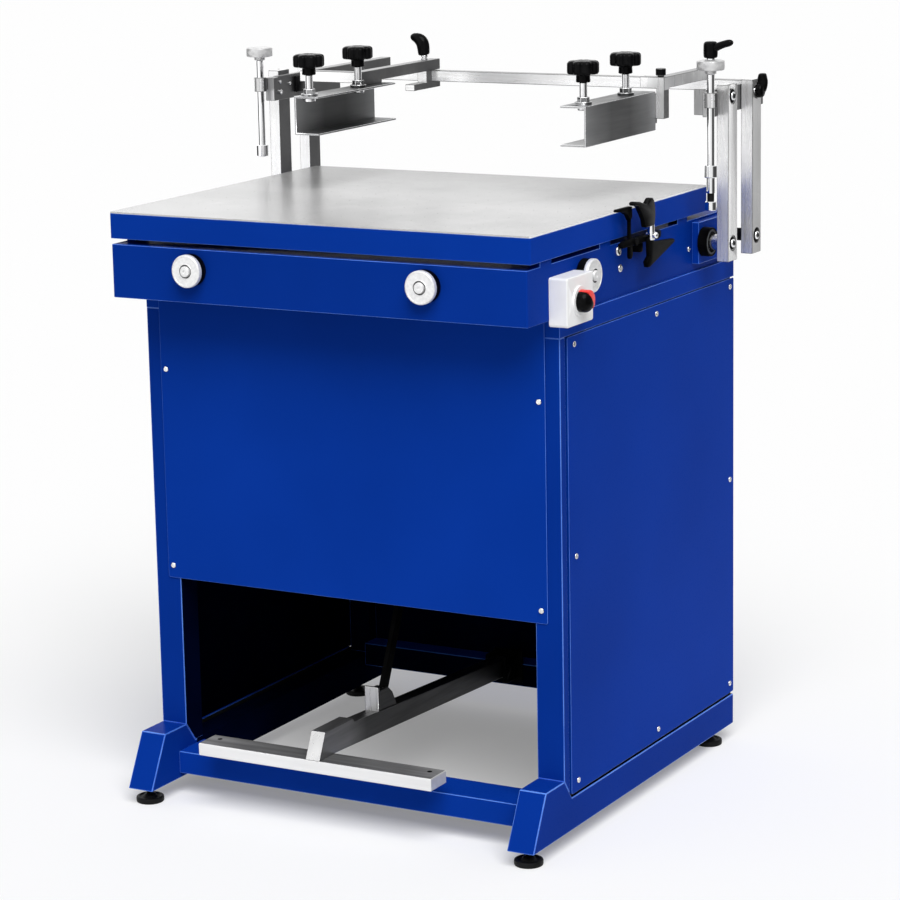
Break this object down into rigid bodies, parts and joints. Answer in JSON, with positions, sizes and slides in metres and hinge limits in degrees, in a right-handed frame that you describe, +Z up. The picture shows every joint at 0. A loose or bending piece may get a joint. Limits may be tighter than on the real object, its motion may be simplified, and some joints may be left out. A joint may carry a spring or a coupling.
{
  "type": "screen printing vacuum table",
  "caption": "Floor-standing vacuum table for screen printing, with register dials, a parallel lift carrying screen clamps, and a foot pedal that lowers the screen.",
  "frame": {"origin": "on the floor, straight below the middle of the table top's front edge", "axes": "+X to the operator's right, +Y to the rear, +Z up"},
  "size_m": [0.8753, 0.7713, 1.1788],
  "materials": {
    "blue_paint": "gloss enamel",
    "bed_sheet": "fine-grained satin",
    "milled_aluminium": "milled, bright",
    "bright_steel": "plated",
    "chromed": "polished",
    "dial_metal": "satin anodised",
    "black_plastic": "gloss",
    "red_plastic": "gloss",
    "white_plastic": "semi gloss",
    "black_steel": "semi gloss",
    "grey_casting": "painted grey casting",
    "black_rubber": "matte"
  },
  "bodies": {
    "base": {"legs": "blue_paint", "base_beams": "blue_paint", "lower_rails": "blue_paint", "upper_frame": "blue_paint", "apron": "blue_paint", "front_panel": "blue_paint", "side_panels": "blue_paint", "rear_panel": "blue_paint", "panel_screws": "bright_steel", "switch_box": "white_plastic", "arm_brackets": "blue_paint", "shaft_bearings": "black_steel", "knob_rings": "black_plastic", "clamp_base": "black_steel", "vacuum_pump": "grey_casting", "pump_shelf": "bright_steel", "vacuum_hose": "black_rubber", "pedal_bracket": "black_steel", "lift_springs": "bright_steel"},
    "cross_slide": {"cross_slide": "bright_steel"},
    "table": {"suction_box": "blue_paint", "top_sheet": "bed_sheet"},
    "dial_left": {"register_knob_left": "dial_metal"},
    "dial_right": {"register_knob_right": "dial_metal"},
    "dial_side": {"register_knob_side": "dial_metal"},
    "switch": {"switch_knob": "black_plastic", "switch_cap": "red_plastic"},
    "edge_clamp": {"clamp_lever": "black_steel"},
    "pedal": {"pedal_arm": "milled_aluminium", "pedal_bar": "milled_aluminium"},
    "link": {"push_link": "black_steel"},
    "lift": {"torque_shaft": "bright_steel", "front_arms": "milled_aluminium"},
    "rear_arm_l": {"rear_arm_left": "milled_aluminium"},
    "rear_arm_r": {"rear_arm_right": "milled_aluminium"},
    "carrier": {"heads": "milled_aluminium", "cross_bar": "milled_aluminium", "right_carriage": "milled_aluminium", "channel_right": "milled_aluminium"},
    "arm_lever": {"arm_lock_lever": "black_plastic"},
    "left_fork": {"left_carriage": "milled_aluminium", "channel_left": "milled_aluminium"},
    "fork_lever": {"carriage_lever": "black_plastic"},
    "rod_left": {"stop_rod_left": "chromed"},
    "rod_right": {"stop_rod_right": "chromed"},
    "rod_knob_left": {"stop_knob_left": "chromed"},
    "rod_knob_right": {"stop_knob_right": "chromed"},
    "rod_lever": {"rod_lock_lever": "black_plastic"},
    "spindle_left_front": {"clamp_spindle_left_front": "chromed"},
    "star_left_front": {"star_knob_left_front": "black_plastic"},
    "spindle_left_rear": {"clamp_spindle_left_rear": "chromed"},
    "star_left_rear": {"star_knob_left_rear": "black_plastic"},
    "spindle_right_front": {"clamp_spindle_right_front": "chromed"},
    "star_right_front": {"star_knob_right_front": "black_plastic"},
    "spindle_right_rear": {"clamp_spindle_right_rear": "chromed"},
    "star_right_rear": {"star_knob_right_rear": "black_plastic"},
    "foot_front_left": {"levelling_foot_front_left": "black_rubber"},
    "foot_front_right": {"levelling_foot_front_right": "black_rubber"},
    "foot_rear_left": {"levelling_foot_rear_left": "black_rubber"},
    "foot_rear_right": {"levelling_foot_rear_right": "black_rubber"}
  },
  "joints": [
    {"name": "lift", "type": "hinge", "parent": "base", "child": "lift", "pos_m": [0, 0.574, 0.855], "axis": [1, 0, 0], "range_deg": [0, 50], "stiffness_Nm_per_rad": 25, "springref_deg": -20.05},
    {"name": "rear_arm_left_turn", "type": "hinge", "parent": "base", "child": "rear_arm_l", "pos_m": [-0.409, 0.668, 0.855], "axis": [1, 0, 0], "range_deg": [-1, 51]},
    {"name": "rear_arm_right_turn", "type": "hinge", "parent": "base", "child": "rear_arm_r", "pos_m": [0.409, 0.668, 0.855], "axis": [1, 0, 0], "range_deg": [-1, 51]},
    {"name": "carrier_level", "type": "hinge", "parent": "lift", "child": "carrier", "pos_m": [0, 0.574, 1.085], "axis": [1, 0, 0], "range_deg": [-51, 1]},
    {"name": "pedal", "type": "hinge", "parent": "base", "child": "pedal", "pos_m": [-0.03, 0.62, 0.1], "axis": [1, 0, 0], "range_deg": [-0.1, 4]},
    {"name": "push_link_turn", "type": "hinge", "parent": "pedal", "child": "link", "pos_m": [-0.03, 0.222, 0.16], "axis": [1, 0, 0], "range_deg": [-3.6, 0.1]},
    {"name": "table_forward", "type": "slide", "parent": "base", "child": "cross_slide", "axis": [0, 1, 0], "range_m": [-0.005, 0.005]},
    {"name": "table_sideways", "type": "slide", "parent": "cross_slide", "child": "table", "axis": [1, 0, 0], "range_m": [-0.005, 0.005]},
    {"name": "dial_left_turn", "type": "hinge", "parent": "base", "child": "dial_left", "pos_m": [-0.21, -0.02, 0.86], "axis": [0, -1, 0], "range_deg": [-1202, 1202]},
    {"name": "dial_right_turn", "type": "hinge", "parent": "base", "child": "dial_right", "pos_m": [0.192, -0.02, 0.86], "axis": [0, -1, 0], "range_deg": [-1202, 1202]},
    {"name": "dial_side_turn", "type": "hinge", "parent": "base", "child": "dial_side", "pos_m": [0.372, 0.173, 0.86], "axis": [1, 0, 0], "range_deg": [-1202, 1202]},
    {"name": "switch_turn", "type": "hinge", "parent": "base", "child": "switch", "pos_m": [0.395, 0.1, 0.835], "axis": [1, 0, 0], "range_deg": [0, 90]},
    {"name": "edge_clamp_swing", "type": "hinge", "parent": "base", "child": "edge_clamp", "pos_m": [0.38, 0.352, 0.896], "axis": [1, 0, 0], "range_deg": [-60, 0]},
    {"name": "arm_lever_turn", "type": "hinge", "parent": "carrier", "child": "arm_lever", "pos_m": [0.425, 0.668, 1.085], "axis": [1, 0, 0], "range_deg": [-30, 60]},
    {"name": "left_fork_slide", "type": "slide", "parent": "carrier", "child": "left_fork", "axis": [1, 0, 0], "range_m": [-0.07, 0.3]},
    {"name": "fork_lever_turn", "type": "hinge", "parent": "left_fork", "child": "fork_lever", "pos_m": [-0.203, 0.7067, 1.12], "axis": [0, 0, 1], "range_deg": [-90, 90]},
    {"name": "stop_rod_left_slide", "type": "slide", "parent": "carrier", "child": "rod_left", "axis": [0, 0, 1], "range_m": [-0.02, 0.02]},
    {"name": "stop_knob_left_turn", "type": "hinge", "parent": "rod_left", "child": "rod_knob_left", "pos_m": [-0.408, 0.514, 1.135], "axis": [0, 0, 1], "range_deg": [-4117, 4117]},
    {"name": "stop_rod_right_slide", "type": "slide", "parent": "carrier", "child": "rod_right", "axis": [0, 0, 1], "range_m": [-0.02, 0.02]},
    {"name": "stop_knob_right_turn", "type": "hinge", "parent": "rod_right", "child": "rod_knob_right", "pos_m": [0.408, 0.514, 1.135], "axis": [0, 0, 1], "range_deg": [-4117, 4117]},
    {"name": "rod_lever_turn", "type": "hinge", "parent": "rod_right", "child": "rod_lever", "pos_m": [0.408, 0.514, 1.16], "axis": [0, 0, 1], "range_deg": [-90, 90]},
    {"name": "spindle_left_front_slide", "type": "slide", "parent": "left_fork", "child": "spindle_left_front", "axis": [0, 0, 1], "range_m": [-0.02, 0]},
    {"name": "star_left_front_turn", "type": "hinge", "parent": "spindle_left_front", "child": "star_left_front", "pos_m": [-0.1905, 0.314, 1.13], "axis": [0, 0, 1], "range_deg": [-4117, 1]},
    {"name": "spindle_left_rear_slide", "type": "slide", "parent": "left_fork", "child": "spindle_left_rear", "axis": [0, 0, 1], "range_m": [-0.02, 0]},
    {"name": "star_left_rear_turn", "type": "hinge", "parent": "spindle_left_rear", "child": "star_left_rear", "pos_m": [-0.1905, 0.465, 1.13], "axis": [0, 0, 1], "range_deg": [-4117, 1]},
    {"name": "spindle_right_front_slide", "type": "slide", "parent": "carrier", "child": "spindle_right_front", "axis": [0, 0, 1], "range_m": [-0.02, 0]},
    {"name": "star_right_front_turn", "type": "hinge", "parent": "spindle_right_front", "child": "star_right_front", "pos_m": [0.2775, 0.338, 1.13], "axis": [0, 0, 1], "range_deg": [-4117, 1]},
    {"name": "spindle_right_rear_slide", "type": "slide", "parent": "carrier", "child": "spindle_right_rear", "axis": [0, 0, 1], "range_m": [-0.02, 0]},
    {"name": "star_right_rear_turn", "type": "hinge", "parent": "spindle_right_rear", "child": "star_right_rear", "pos_m": [0.2775, 0.485, 1.13], "axis": [0, 0, 1], "range_deg": [-4117, 1]},
    {"name": "foot_front_left_turn", "type": "hinge", "parent": "base", "child": "foot_front_left", "pos_m": [-0.3375, 0.012, 0.01], "axis": [0, 0, 1], "continuous": true},
    {"name": "foot_front_right_turn", "type": "hinge", "parent": "base", "child": "foot_front_right", "pos_m": [0.3375, 0.012, 0.01], "axis": [0, 0, 1], "continuous": true},
    {"name": "foot_rear_left_turn", "type": "hinge", "parent": "base", "child": "foot_rear_left", "pos_m": [-0.3375, 0.662, 0.01], "axis": [0, 0, 1], "continuous": true},
    {"name": "foot_rear_right_turn", "type": "hinge", "parent": "base", "child": "foot_rear_right", "pos_m": [0.3375, 0.662, 0.01], "axis": [0, 0, 1], "continuous": true}
  ],
  "couplings": [
    {"joint": "rear_arm_left_turn", "follows": "lift", "ratio": 1},
    {"joint": "rear_arm_right_turn", "follows": "lift", "ratio": 1},
    {"joint": "carrier_level", "follows": "lift", "ratio": -1},
    {"joint": "pedal", "follows": "lift", "ratio": 0.0785},
    {"joint": "push_link_turn", "follows": "lift", "ratio": -0.06842},
    {"joint": "dial_left_turn", "follows": "table_forward", "rad_per_m": 4188.8},
    {"joint": "dial_right_turn", "follows": "table_forward", "rad_per_m": 4188.8},
    {"joint": "dial_side_turn", "follows": "table_sideways", "rad_per_m": 4188.8},
    {"joint": "stop_knob_left_turn", "follows": "stop_rod_left_slide", "rad_per_m": 3590.4},
    {"joint": "stop_knob_right_turn", "follows": "stop_rod_right_slide", "rad_per_m": 3590.4},
    {"joint": "star_left_front_turn", "follows": "spindle_left_front_slide", "rad_per_m": 3590.4},
    {"joint": "star_left_rear_turn", "follows": "spindle_left_rear_slide", "rad_per_m": 3590.4},
    {"joint": "star_right_front_turn", "follows": "spindle_right_front_slide", "rad_per_m": 3590.4},
    {"joint": "star_right_rear_turn", "follows": "spindle_right_rear_slide", "rad_per_m": 3590.4}
  ]
}
